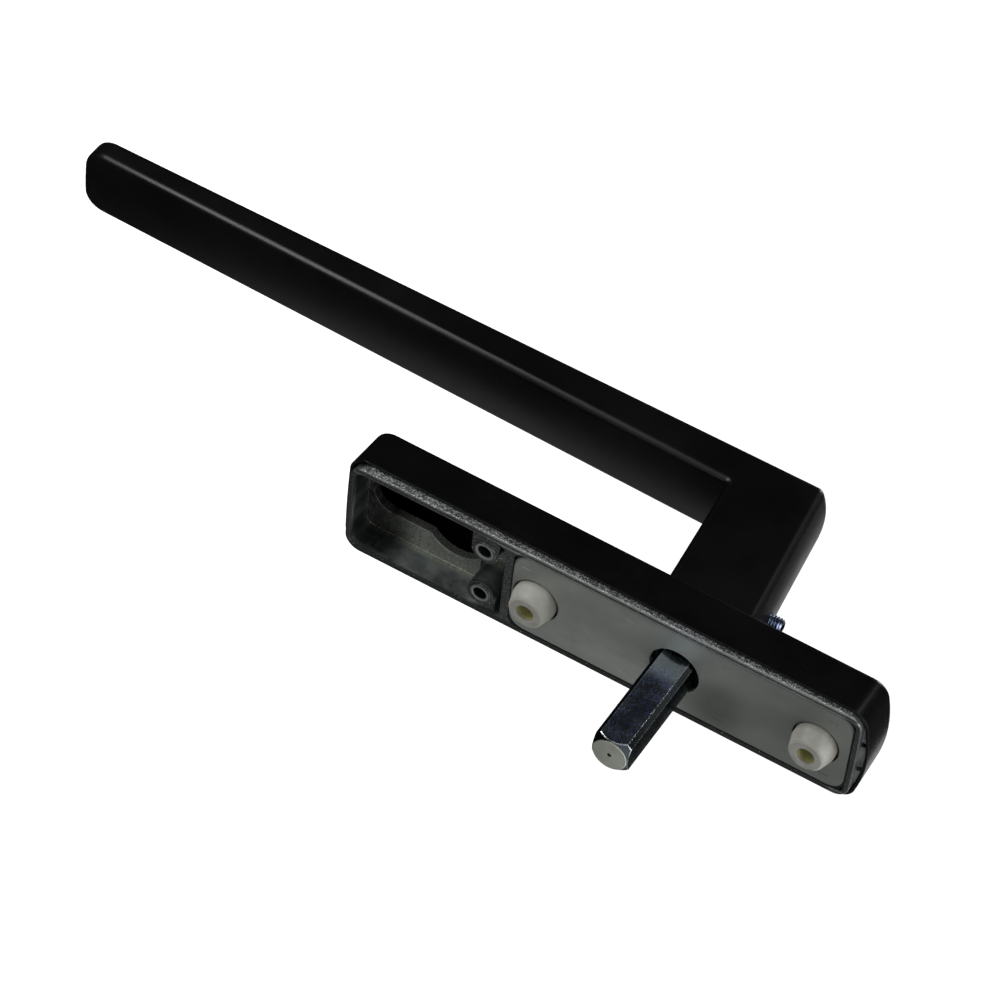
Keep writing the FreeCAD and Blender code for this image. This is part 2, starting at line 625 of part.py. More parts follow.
def support_lug(height):
    """Nylon lug that steadies the rose in the door round a fixing screw."""
    outline = [
        (SCREW_HOLE_RADIUS, -PLATE_THICKNESS - LUG_SPIGOT_LENGTH),
        (LUG_SPIGOT_RADIUS, -PLATE_THICKNESS - LUG_SPIGOT_LENGTH),
        (LUG_SPIGOT_RADIUS, -PLATE_THICKNESS),
        (LUG_RADIUS, -PLATE_THICKNESS),
        (LUG_RADIUS, LUG_HEIGHT / 4),
        (LUG_END_RADIUS, LUG_HEIGHT - LUG_EDGE),
        (LUG_END_RADIUS - LUG_EDGE, LUG_HEIGHT),
        (SCREW_HOLE_RADIUS, LUG_HEIGHT),
    ]
    return revolved(outline).translated(vector(0, 0, height))


def cover_block(inset, depths):
    """Tapered block with bowed ends: the cover's outside, or its hollow one wall further in."""
    outer_half = BASE_HALF_WIDTH + COVER_CLEARANCE + COVER_WALL
    top = BASE_TOP + CRUSH_RIB_REACH + COVER_TOP_CLEARANCE + COVER_WALL
    bottom = BASE_BOTTOM - COVER_BOTTOM_CLEARANCE - COVER_WALL
    return tapered_block(
        outer_half - inset, (bottom + inset, top - inset), COVER_CORNER_RADIUS - inset,
        (COVER_BOTTOM_BOW - inset, COVER_TOP_BOW - inset), (COVER_SIDE_DRAFT, COVER_BOTTOM_DRAFT, COVER_TOP_DRAFT),
        depths)


def cover():
    """Shell that clips over the base, slightly askew as the photograph shows it."""
    outside = cover_block(0, (COVER_EDGE_DEPTH, COVER_FRONT_DEPTH))
    outside = outside.makeFillet(COVER_FRONT_RADIUS, end_edges(outside, -COVER_FRONT_DEPTH))
    hollow = cover_block(COVER_WALL, (COVER_EDGE_DEPTH, COVER_FRONT_DEPTH - COVER_WALL))
    shell = outside.cut(hollow)
    shell.rotate(vector(0, -COVER_FRONT_DEPTH, 0), X_AXIS, -COVER_TILT)
    return shell.cut(rod(COLLAR_RADIUS + COVER_HOLE_CLEARANCE, (0, COVER_FRONT_DEPTH + PAST)))


def bearing_bush():
    """Flanged nylon bush that the journal turns in."""
    bore = JOURNAL_RADIUS + RUNNING_FIT
    flange = BUSH_RADIUS + BUSH_FLANGE_STEP
    return revolved([
        (bore, -BASE_DEPTH - BUSH_FLANGE),
        (flange, -BASE_DEPTH - BUSH_FLANGE),
        (flange, -BASE_DEPTH),
        (BUSH_RADIUS, -BASE_DEPTH),
        (BUSH_RADIUS, -CHAMBER_FLOOR_DEPTH + BUSH_TAIL),
        (bore, -CHAMBER_FLOOR_DEPTH + BUSH_TAIL),
    ])


def index_cam():
    """Square cam with rounded corners that stops the lever every quarter turn."""
    span = (-CAM_HALF_SIZE, CAM_HALF_SIZE)
    depths = (CAM_REAR_DEPTH, CAM_FRONT_DEPTH)
    cam = block(span, depths, span).common(rod(CAM_CORNER_RADIUS, depths))
    return cam.cut(journal_section(CAM_FIT, (CAM_REAR_DEPTH - PAST, CAM_FRONT_DEPTH + PAST)))


def index_spring(side):
    """Flat spring with hooked ends that presses on one flat of the cam."""
    near = CAM_HALF_SIZE + SPRING_GAP
    far = near + SPRING_THICKNESS
    depths = (CAM_REAR_DEPTH + SPRING_SIDE_GAP, CHAMBER_FLOOR_DEPTH - SPRING_SIDE_GAP)
    strip = block(ordered(side * near, side * far), depths, (-SPRING_HALF_LENGTH, SPRING_HALF_LENGTH))
    hooks = []
    for end in (-1, 1):
        tip = ordered(end * (SPRING_HALF_LENGTH - SPRING_THICKNESS), end * SPRING_HALF_LENGTH)
        hooks.append(block(ordered(side * near, side * (near + SPRING_HOOK)), depths, tip))
    return strip.multiFuse(hooks).removeSplitter()


def thrust_washer():
    """Steel washer between the cam and the retaining ring."""
    depths = (WASHER_REAR_DEPTH, CAM_REAR_DEPTH)
    washer = rod(JOURNAL_RADIUS + THRUST_WASHER_STEP, depths)
    return washer.cut(journal_section(CAM_FIT, (depths[0] - PAST, depths[1] + PAST)))


def retaining_ring():
    """Open ring in the journal's groove, with two plier ears."""
    depths = (RING_REAR_DEPTH, WASHER_REAR_DEPTH)
    inner = GROOVE_RADIUS + CAM_FIT
    outer = inner + RING_BAND
    ring = rod(outer, depths)
    reach = outer + PAST
    half_gap = math.radians(RING_GAP_HALF_ANGLE)
    corners = [(0, 0)] + [(side * reach * math.sin(half_gap), -reach * math.cos(half_gap)) for side in (1, -1)]
    wedge = [vector(x, -depths[1], z) for x, z in corners]
    gap = Part.Face(Part.makePolygon(wedge + wedge[:1])).extrude(Y_AXIS * RING_THICKNESS)
    ring = ring.cut(gap)
    ears, holes = [], []
    for side in (-1, 1):
        x = side * outer * math.sin(half_gap)
        z = -outer * math.cos(half_gap)
        ears.append(rod(RING_EAR_RADIUS, depths, x, z))
        holes.append(rod(RING_EAR_HOLE_RADIUS, (depths[0] - PAST, depths[1] + PAST), x, z))
    bore = rod(inner, (depths[0] - PAST, depths[1] + PAST))
    return ring.multiFuse(ears).cut(holes + [bore]).removeSplitter()


def main():
    os.makedirs("parts", exist_ok=True)
    pieces = {
        "lever": lever(),
        "spindle": spindle(),
        "grub_screw": grub_screw(),
        "base": base(),
        "back_plate": back_plate(),
        "support_lug_upper": support_lug(SCREW_HEIGHTS[0]),
        "support_lug_lower": support_lug(SCREW_HEIGHTS[1]),
        "cover": cover(),
        "bearing_bush": bearing_bush(),
        "index_cam": index_cam(),
        "index_spring_left": index_spring(-1),
        "index_spring_right": index_spring(1),
        "thrust_washer": thrust_washer(),
        "retaining_ring": retaining_ring(),
    }
    for name, shape in pieces.items():
        print(name, "valid", shape.isValid(), "solids", len(shape.Solids), "volume", round(shape.Volume, 1))
        shape.exportStep("parts/" + name + ".step")


main()
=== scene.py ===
import math

import bmesh
import bpy
from mathutils import Matrix, Vector


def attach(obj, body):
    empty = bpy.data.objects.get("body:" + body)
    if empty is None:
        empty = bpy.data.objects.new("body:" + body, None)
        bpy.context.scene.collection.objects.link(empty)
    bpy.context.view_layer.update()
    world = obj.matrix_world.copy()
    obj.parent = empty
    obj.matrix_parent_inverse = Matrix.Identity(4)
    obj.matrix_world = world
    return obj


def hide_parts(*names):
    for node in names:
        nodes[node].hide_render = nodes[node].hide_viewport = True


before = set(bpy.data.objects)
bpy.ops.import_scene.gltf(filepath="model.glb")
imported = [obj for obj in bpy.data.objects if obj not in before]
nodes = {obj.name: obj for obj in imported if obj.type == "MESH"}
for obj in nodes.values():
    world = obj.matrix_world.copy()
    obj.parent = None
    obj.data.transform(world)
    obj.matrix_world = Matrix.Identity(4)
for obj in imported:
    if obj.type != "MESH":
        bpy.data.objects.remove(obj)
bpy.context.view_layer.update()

# Lift-and-slide patio door handle, seen from its door side. Everything is in metres.
# +Y points into the door, +Z is up along the rose, and the grip hangs down along -Z.

MM = 0.001

# Camera
CAMERA_PLACE = Vector((0.85582, 0.66442, 0.26854))
CAMERA_AIM = Vector((-0.00187, -0.02513, -0.06524))
CAMERA_UP = Vector((0.66148, -0.61501, -0.42920))
CAMERA_LENS = 162.0
SENSOR_WIDTH = 36.0

# Studio
FLOOR_HEIGHT = -0.42
FLOOR_SIZE = 8.0
FLOOR_COLOUR = (0.85, 0.85, 0.85, 1.0)
STUDIO_GREY = (0.30, 0.30, 0.31, 1.0)

# Studio cards: name, centre, width, height and grey. They are seen in gloss alone.
STUDIO_CARDS = (
    ("dark_side_card", (0.46, -0.38, -0.16), 1.1, 1.0, 0.012),
    ("dark_high_card", (0.24, -0.50, 0.50), 1.0, 0.8, 0.015),
    ("dark_room_card", (-0.42, -0.45, 0.42), 0.8, 0.62, 0.03),
    ("light_room_card", (-0.56, -0.43, 0.00), 0.8, 0.26, 0.55),
    ("light_side_card", (-0.60, 0.10, -0.13), 0.5, 0.6, 0.34),
    ("dark_rear_card", (-0.25, 0.55, -0.20), 0.9, 0.8, 0.05),
    ("dark_low_card", (0.0, 0.0, -0.40), 2.2, 2.2, 0.02),
    ("dark_edge_card", (-0.17, -0.66, -0.20), 0.7, 0.5, 0.01),
)

# Lamps: name, place, aim, width, height and power
LAMPS = (
    ("ridge_low_softbox", (0.32, 0.07, -0.31), (0, -0.056, -0.20), 0.26, 0.09, 0.62),
    ("ridge_high_softbox", (0.345, -0.06, -0.235), (0, -0.056, -0.13), 0.20, 0.07, 0.20),
    ("corner_softbox", (0.386, -0.31, 0.212), (0, 0.02, 0), 0.05, 0.05, 0.11),
    ("top_softbox", (0.1, 0.1, 1.1), (0, 0, 0), 0.9, 0.9, 9.0),
    ("room_softbox", (0.02, -1.0, 0.20), (0, -0.03, -0.08), 0.35, 0.35, 3.0),
)

# Grub screw, as in the solid model
GRUB_DEPTH = 27.4 * MM
GRUB_RADIUS = 2.45 * MM
GRUB_START = 5.0 * MM
GRUB_END = 15.8 * MM
GRUB_SOCKET = 2.5 * MM
GRUB_SOCKET_DEPTH = 3.0 * MM
THREAD_PITCH = 0.8 * MM
THREAD_DEPTH = 0.42 * MM

SCREW_HEIGHTS = (40.0 * MM, -40.0 * MM)
SPINDLE_REACH = 32.3 * MM

# Outline of the back plate and of the rim round it, as in the solid model
PLATE_HALF_WIDTH = 13.45 * MM
PLATE_TOP = 49.5 * MM
PLATE_BOTTOM = -47.3 * MM
PLATE_CORNER = 5.0 * MM
RIM_HALF_WIDTH = 15.0 * MM

# Screw bosses in the lock cylinder compartment, as in the solid model
BOSS_OFFSET = 7.95 * MM
BOSS_HEIGHT = -55.7 * MM


# Material nodes

def add(tree, kind, values=None, **settings):
    """One node with its settings, and its inputs as values or as other nodes' outputs."""
    made = tree.nodes.new(kind)
    for key, value in settings.items():
        setattr(made, key, value)
    for key, value in (values or {}).items():
        if isinstance(value, bpy.types.NodeSocket):
            tree.links.new(value, made.inputs[key])
        else:
            made.inputs[key].default_value = value
    return made


def start_material(name):
    """Empty material with a shader and an output."""
    material = bpy.data.materials.new(name)
    material.use_nodes = True
    tree = material.node_tree
    tree.nodes.clear()
    shader = add(tree, "ShaderNodeBsdfPrincipled")
    add(tree, "ShaderNodeOutputMaterial", {"Surface": shader.outputs["BSDF"]})
    return material, tree, shader


def object_place(tree):
    return add(tree, "ShaderNodeTexCoord").outputs["Object"]


def stretched(tree, place, scale, rotation=(0, 0, 0)):
    """Coordinates squeezed along the axes, for grain that runs one way."""
    return add(tree, "ShaderNodeMapping", {"Vector": place, "Scale": scale, "Rotation": rotation}).outputs["Vector"]


def noise(tree, place, scale, detail=3.0, roughness=0.5, distortion=0.0):
    made = add(tree, "ShaderNodeTexNoise", {
        "Vector": place, "Scale": scale, "Detail": detail, "Roughness": roughness, "Distortion": distortion})
    return made.outputs["Fac"]


def cells(tree, place, scale, feature="F1"):
    return add(tree, "ShaderNodeTexVoronoi", {"Vector": place, "Scale": scale}, feature=feature).outputs["Distance"]


def between(tree, value, low, high, to_low=0.0, to_high=1.0):
    """Stretches a range of values onto another and holds it there."""
    made = add(tree, "ShaderNodeMapRange", {
        "Value": value, "From Min": low, "From Max": high, "To Min": to_low, "To Max": to_high},
        interpolation_type="SMOOTHSTEP")
    return made.outputs["Result"]


def maths(tree, operation, first, second=0.0):
    made = add(tree, "ShaderNodeMath", {0: first, 1: second}, operation=operation)
    return made.outputs[0]


def times(tree, first, second):
    return maths(tree, "MULTIPLY", first, second)


def mixed(tree, factor, first, second, blend="MIX"):
    """Colour between two colours."""
    made = add(tree, "ShaderNodeMix", data_type="RGBA", blend_type=blend, clamp_factor=True)
    for socket, value in ((made.inputs[0], factor), (made.inputs[6], first), (made.inputs[7], second)):
        if isinstance(value, bpy.types.NodeSocket):
            tree.links.new(value, socket)
        else:
            socket.default_value = value
    return made.outputs[2]


def axes(tree, place):
    split = add(tree, "ShaderNodeSeparateXYZ", {"Vector": place})
    return split.outputs["X"], split.outputs["Y"], split.outputs["Z"]


def from_plate_edge(tree, x, z):
    """Distance past the outline of the back plate, which is below zero on the plate."""
    half_x = PLATE_HALF_WIDTH - PLATE_CORNER
    half_z = (PLATE_TOP - PLATE_BOTTOM) / 2 - PLATE_CORNER
    middle = (PLATE_TOP + PLATE_BOTTOM) / 2
    past_x = maths(tree, "SUBTRACT", maths(tree, "ABSOLUTE", x), half_x)
    past_z = maths(tree, "SUBTRACT", maths(tree, "ABSOLUTE", maths(tree, "SUBTRACT", z, middle)), half_z)
    out_x = maths(tree, "MAXIMUM", past_x, 0.0)
    out_z = maths(tree, "MAXIMUM", past_z, 0.0)
    corner = maths(tree, "SQRT", maths(tree, "ADD", times(tree, out_x, out_x), times(tree, out_z, out_z)))
    inside = maths(tree, "MINIMUM", maths(tree, "MAXIMUM", past_x, past_z), 0.0)
    return maths(tree, "SUBTRACT", maths(tree, "ADD", corner, inside), PLATE_CORNER)


def softened_edges(tree, radius):
    """Normal that rolls round sharp edges, and a mask that is 1 on them."""
    rolled = add(tree, "ShaderNodeBevel", {"Radius": radius}, samples=6).outputs["Normal"]
    flat = add(tree, "ShaderNodeNewGeometry").outputs["Normal"]
    likeness = add(tree, "ShaderNodeVectorMath", {0: rolled, 1: flat}, operation="DOT_PRODUCT").outputs["Value"]
    return rolled, between(tree, likeness, 0.995, 0.80)


def bumped(tree, height, distance, normal, strength=1.0):
    made = add(tree, "ShaderNodeBump", {
        "Height": height, "Distance": distance, "Strength": strength, "Normal": normal})
    return made.outputs["Normal"]


def connect(tree, shader, values):
    for key, value in values.items():
        if isinstance(value, bpy.types.NodeSocket):
            tree.links.new(value, shader.inputs[key])
        else:
            shader.inputs[key].default_value = value


# Finishes

def black_coating(name, roughness):
    """Satin black powder coat with a fine orange peel, dust in it and slightly rubbed edges."""
    material, tree, shader = start_material(name)
    place = object_place(tree)
    rolled, edge = softened_edges(tree, 0.25 * MM)
    peel = noise(tree, place, 900, 2)
    grain = noise(tree, place, 5200, 2)
    cloud = noise(tree, place, 28, 4, 0.6)
    specks = between(tree, noise(tree, place, 2600, 1), 0.76, 0.80)
    rubbed = times(tree, edge, between(tree, noise(tree, place, 700, 3), 0.45, 0.75))
    colour = mixed(tree, between(tree, cloud, 0.35, 0.7), (0.0018, 0.0018, 0.0020, 1), (0.0030, 0.0029, 0.0029, 1))
    colour = mixed(tree, times(tree, rubbed, 0.5), colour, (0.030, 0.030, 0.030, 1))
    colour = mixed(tree, times(tree, specks, 0.2), colour, (0.012, 0.012, 0.013, 1))
    rough = between(tree, cloud, 0.3, 0.7, roughness - 0.04, roughness + 0.05)
    rough = maths(tree, "ADD", rough, times(tree, rubbed, -0.08))
    height = maths(tree, "ADD", times(tree, peel, 0.7), times(tree, grain, 0.3))
    connect(tree, shader, {
        "Base Color": colour, "Roughness": rough, "Specular IOR Level": 0.32, "IOR": 1.5,
        "Normal": bumped(tree, height, 0.006 * MM, rolled)})
    return material


def die_cast():
    """Bare zinc casting: mottled and grainy, scuffed bright on its rim and speckled on its outer side, with painted
    light on the compartment floor, painted glints on the rim and painted shade on one side of the rim, at the lower end
    of the compartment and in the screw bores.
    """
    material, tree, shader = start_material("bare_casting")
    place = object_place(tree)
    rolled, edge = softened_edges(tree, 0.22 * MM)
    x, y, z = axes(tree, place)
    mottle = noise(tree, place, 85, 5, 0.65, 0.6)
    stain = noise(tree, place, 230, 4, 0.6)
    grain = noise(tree, place, 1900, 3)
    pits = cells(tree, place, 900)
    streaks = noise(tree, stretched(tree, place, (1, 0.12, 1)), 520, 3, 0.6)
    colour = mixed(tree, between(tree, mottle, 0.32, 0.68), (0.085, 0.098, 0.093, 1), (0.260, 0.275, 0.255, 1))
    colour = mixed(tree, times(tree, between(tree, stain, 0.52, 0.75), 0.55), colour, (0.050, 0.060, 0.064, 1))
    colour = mixed(tree, times(tree, between(tree, streaks, 0.55, 0.75), 0.4), colour, (0.34, 0.36, 0.34, 1))
    gritty = noise(tree, place, 1600, 4, 0.75)
    # Painted light: the compartment floor is made much lighter than the walls, with grit and lighter edges on it.
    on_floor = between(tree, y, -6.5 * MM, -7.6 * MM)
    colour = mixed(tree, times(tree, on_floor, 0.6), colour, (0.59, 0.61, 0.54, 1))
    colour = mixed(tree, times(tree, on_floor, between(tree, gritty, 0.40, 0.62, 0.0, 0.6)), colour, (0.10, 0.115, 0.10, 1))
    colour = mixed(tree, times(tree, times(tree, edge, on_floor), 0.7), colour, (0.72, 0.74, 0.72, 1))
    on_wall = times(tree, between(tree, y, -0.6 * MM, -2.0 * MM), between(tree, y, -8.0 * MM, -6.0 * MM))
    wall = mixed(tree, between(tree, stain, 0.40, 0.62), (0.16, 0.18, 0.19, 1), (0.37, 0.40, 0.40, 1))
    colour = mixed(tree, times(tree, on_wall, 0.6), colour, wall)
    # Painted shade: the lower end of the compartment walls is made nearly black, with streaks.
    ribbed = between(tree, noise(tree, stretched(tree, place, (1, 0.1, 1)), 520, 4, 0.7), 0.30, 0.70, 0.75, 1.0)
    end_shade = times(tree, between(tree, z, -78 * MM, -88 * MM), between(tree, y, -0.6 * MM, -2.2 * MM))
    colour = mixed(tree, times(tree, times(tree, end_shade, ribbed), 0.93), colour, (0.010, 0.013, 0.013, 1))
    rim = between(tree, y, -0.9 * MM, -0.25 * MM)
    scuffs = between(tree, noise(tree, stretched(tree, place, (1, 1, 0.25)), 3800, 4, 0.75), 0.50, 0.66)
    across = maths(tree, "ABSOLUTE", x)
    inner_line = between(tree, across, 13.95 * MM, 13.75 * MM)
    outer_line = between(tree, across, 14.55 * MM, 14.75 * MM)
    lines = times(tree, maths(tree, "MAXIMUM", inner_line, outer_line), between(tree, across, 13.0 * MM, 13.4 * MM))
    colour = mixed(tree, times(tree, rim, 0.9), colour, (0.085, 0.092, 0.091, 1))
    colour = mixed(tree, times(tree, times(tree, rim, lines), 0.8), colour, (0.50, 0.52, 0.51, 1))
    # The rim is darker towards both ends.
    darker_rim_ends = maths(tree, "MAXIMUM", between(tree, z, -50 * MM, -60 * MM), between(tree, z, 45 * MM, 49 * MM))
    darker_rim_ends = times(tree, rim, darker_rim_ends)
    colour = mixed(tree, times(tree, darker_rim_ends, 0.65), colour, (0.055, 0.060, 0.060, 1))
    glints = between(tree, noise(tree, place, 1500, 1), 0.73, 0.76)
    outer = between(tree, across, RIM_HALF_WIDTH, RIM_HALF_WIDTH + 0.15 * MM)
    specks = between(tree, noise(tree, place, 2600, 2, 0.6), 0.50, 0.62)
    shaded = times(tree, between(tree, x, -12.9 * MM, -13.3 * MM), between(tree, z, 47 * MM, 44 * MM))
    shaded = times(tree, rim, shaded)
    colour = mixed(tree, times(tree, shaded, 0.95), colour, (0.045, 0.050, 0.049, 1))
    bright = maths(tree, "MAXIMUM", times(tree, rim, 0.5), times(tree, edge, 0.65))
    bright = times(tree, bright, maths(tree, "SUBTRACT", 1.0, times(tree, shaded, 0.8)))
    bright = times(tree, bright, maths(tree, "SUBTRACT", 1.0, times(tree, darker_rim_ends, 0.45)))
    colour = mixed(tree, times(tree, scuffs, bright), colour, (0.62, 0.64, 0.62, 1))
    colour = mixed(tree, times(tree, glints, rim), colour, (0.95, 0.96, 0.96, 1))
    colour = mixed(tree, times(tree, outer, 0.6), colour, (0.055, 0.062, 0.062, 1))
    colour = mixed(tree, times(tree, times(tree, specks, outer), 0.8), colour, (0.70, 0.72, 0.72, 1))
    from_boss = maths(tree, "SUBTRACT", maths(tree, "ABSOLUTE", x), BOSS_OFFSET)
    along = maths(tree, "SUBTRACT", z, BOSS_HEIGHT)
    reach = maths(tree, "SQRT", maths(tree, "ADD", times(tree, from_boss, from_boss), times(tree, along, along)))
    ring = times(tree, between(tree, reach, 2.75 * MM, 2.55 * MM), rim)
    colour = mixed(tree, times(tree, ring, 0.7), colour, (0.50, 0.52, 0.50, 1))
    # Painted shade: the inside of each screw boss bore is made nearly black.
    bore = times(tree, between(tree, reach, 2.15 * MM, 2.02 * MM), between(tree, y, -0.1 * MM, -0.5 * MM))
    colour = mixed(tree, times(tree, bore, 0.9), colour, (0.012, 0.015, 0.014, 1))
    height = maths(tree, "ADD", times(tree, grain, 0.5), times(tree, between(tree, pits, 0.0, 0.35), 0.5))
    height = maths(tree, "ADD", height, times(tree, stain, 1.2))
    height = maths(tree, "ADD", height, times(tree, times(tree, specks, outer), 0.8))
    connect(tree, shader, {
        "Base Color": colour, "Metallic": 0.9, "Roughness": between(tree, mottle, 0.3, 0.7, 0.40, 0.56),
        "Normal": bumped(tree, height, 0.045 * MM, rolled)})
    return material


def plate_steel():
    """Dull zinc-plated sheet with faint clouds and rolling marks, painted shade towards the top, a painted shadow of
    the spindle, and painted shade in the dark gap round its edge.
    """
    material, tree, shader = start_material("dull_plated_sheet")
    place = object_place(tree)
    rolled, edge = softened_edges(tree, 0.12 * MM)
    cloud = noise(tree, place, 42, 4, 0.55)
    smudge = noise(tree, stretched(tree, place, (1, 1, 0.6)), 95, 3, 0.6)
    lines = noise(tree, stretched(tree, place, (1, 1, 0.03)), 3000, 2)
    grain = noise(tree, place, 4200, 2)
    colour = mixed(tree, between(tree, cloud, 0.3, 0.7), (0.34, 0.36, 0.335, 1), (0.46, 0.485, 0.45, 1))
    colour = mixed(tree, times(tree, between(tree, smudge, 0.56, 0.8), 0.45), colour, (0.22, 0.235, 0.225, 1))
    colour = mixed(tree, times(tree, between(tree, grain, 0.55, 0.75), 0.12), colour, (0.60, 0.62, 0.60, 1))
    x, y, z = axes(tree, place)
    # Painted shade: the sheet is darker towards the top.
    colour = mixed(tree, between(tree, z, -5 * MM, 25 * MM, 0.0, 0.7), colour, (0.22, 0.23, 0.215, 1))
    # Painted shadow of the spindle: a soft dark patch beside the spindle hole.
    beside = maths(tree, "ADD", times(tree, maths(tree, "ADD", x, 5 * MM), 0.9), 0.0)
    away = maths(tree, "SUBTRACT", z, 13 * MM)
    radius = maths(tree, "SQRT", maths(tree, "ADD", times(tree, beside, beside), times(tree, away, away)))
    colour = mixed(tree, between(tree, radius, 12 * MM, 2 * MM, 0.0, 0.75), colour, (0.14, 0.15, 0.135, 1))
    # Painted shade in the gap round the plate's edge, wider on the -x side and weaker on the +x side.
    gap = from_plate_edge(tree, x, z)
    wavy = maths(tree, "ADD", gap, times(tree, maths(tree, "SUBTRACT", smudge, 0.5), 0.5 * MM))
    wavy = maths(tree, "ADD", wavy, between(tree, x, -12 * MM, -13 * MM, 0.0, 0.25 * MM))
    gap_shade = times(tree, between(tree, wavy, -0.55 * MM, -0.2 * MM), between(tree, x, 9 * MM, 12 * MM, 1.0, 0.25))
    colour = mixed(tree, gap_shade, colour, (0.006, 0.007, 0.007, 1))
    height = maths(tree, "ADD", times(tree, lines, 0.5), times(tree, grain, 0.5))
    connect(tree, shader, {
        "Base Color": colour, "Metallic": 0.9, "Roughness": between(tree, smudge, 0.3, 0.7, 0.52, 0.62),
        "Normal": bumped(tree, height, 0.006 * MM, rolled)})
    return material


def spindle_steel():
    """Bright zinc plating on a drawn square bar, with a bluish cast, fine specks and pits, a painted reflection of the
    back plate near it and painted shade on its side and cone faces.
    """
    material, tree, shader = start_material("bright_plated_bar")
    place = object_place(tree)
    rolled, edge = softened_edges(tree, 0.5 * MM)
    drawn = noise(tree, stretched(tree, place, (1, 0.04, 1)), 2600, 3)
    cloud = noise(tree, place, 150, 3, 0.55)
    fleck = between(tree, noise(tree, stretched(tree, place, (1, 0.5, 1)), 1900, 3, 0.65), 0.46, 0.66)
    pits = between(tree, cells(tree, place, 800), 0.12, 0.05)
    colour = mixed(tree, between(tree, cloud, 0.3, 0.7), (0.38, 0.44, 0.53, 1), (0.48, 0.53, 0.60, 1))
    colour = mixed(tree, times(tree, fleck, 0.7), colour, (0.13, 0.20, 0.62, 1))
    colour = mixed(tree, times(tree, pits, 0.4), colour, (0.80, 0.82, 0.88, 1))
    rough = between(tree, cloud, 0.3, 0.7, 0.16, 0.24)
    rough = maths(tree, "ADD", rough, times(tree, fleck, 0.10))
    rough = maths(tree, "ADD", rough, times(tree, edge, 0.06))
    x, y, z = axes(tree, place)
    # Painted reflection of the back plate: darker and grey-green near the plate.
    colour = mixed(tree, between(tree, y, 9 * MM, 2 * MM, 0.0, 0.7), colour, (0.27, 0.30, 0.29, 1))
    # Painted shade: the side and cone faces are made dark, darkest towards +x.
    facing = axes(tree, add(tree, "ShaderNodeTexCoord").outputs["Normal"])
    side = between(tree, maths(tree, "ABSOLUTE", facing[2]), 0.30, 0.60)
    cone = times(tree, between(tree, facing[1], 0.15, 0.35), between(tree, facing[1], 0.99, 0.95))
    shaded_faces = maths(tree, "MAXIMUM", side, cone)
    film = mixed(tree, between(tree, x, 2 * MM, -4 * MM), (0.030, 0.038, 0.036, 1), (0.17, 0.19, 0.18, 1))
    colour = mixed(tree, times(tree, shaded_faces, 0.93), colour, film)
    worn = times(tree, edge, between(tree, noise(tree, place, 900, 3), 0.35, 0.55, 0.9, 1.8))
    colour = mixed(tree, worn, colour, (0.90, 0.92, 0.94, 1))
    faced = between(tree, y, SPINDLE_REACH - 0.12 * MM, SPINDLE_REACH - 0.04 * MM)
    colour = mixed(tree, faced, colour, mixed(tree, cloud, (0.70, 0.74, 0.65, 1), (0.82, 0.85, 0.75, 1)))
    rough = maths(tree, "ADD", rough, times(tree, faced, 0.28))
    radius = maths(tree, "SQRT", maths(tree, "ADD", times(tree, x, x), times(tree, z, z)))
    drilled = times(tree, between(tree, radius, 0.75 * MM, 0.5 * MM), between(tree, y, 25 * MM, 28 * MM))
    colour = mixed(tree, drilled, colour, (0.02, 0.022, 0.02, 1))
    rough = maths(tree, "ADD", rough, times(tree, drilled, 0.3))
    height = maths(tree, "ADD", times(tree, drawn, 0.3), times(tree, fleck, 0.5))
    height = maths(tree, "SUBTRACT", height, times(tree, pits, 1.3))
    connect(tree, shader, {
        "Base Color": colour, "Metallic": 1.0, "Roughness": rough, "Specular Tint": (0.3, 0.3, 0.3, 1),
        "Normal": bumped(tree, height, 0.010 * MM, rolled)})
    return material


def bright_steel(name, dark, light, roughness):
    """Plated or hardened steel for small parts, with turning marks and a film of oil."""
    material, tree, shader = start_material(name)
    place = object_place(tree)
    rolled, edge = softened_edges(tree, 0.08 * MM)
    film = noise(tree, place, 350, 4, 0.6)
    grain = noise(tree, place, 5200, 2)
    colour = mixed(tree, between(tree, film, 0.3, 0.7), dark, light)
    colour = mixed(tree, times(tree, edge, 0.5), colour, (0.7, 0.7, 0.7, 1))
    connect(tree, shader, {
        "Base Color": colour, "Metallic": 1.0,
        "Roughness": between(tree, film, 0.3, 0.7, roughness, roughness + 0.12),
        "Normal": bumped(tree, grain, 0.004 * MM, rolled)})
    return material


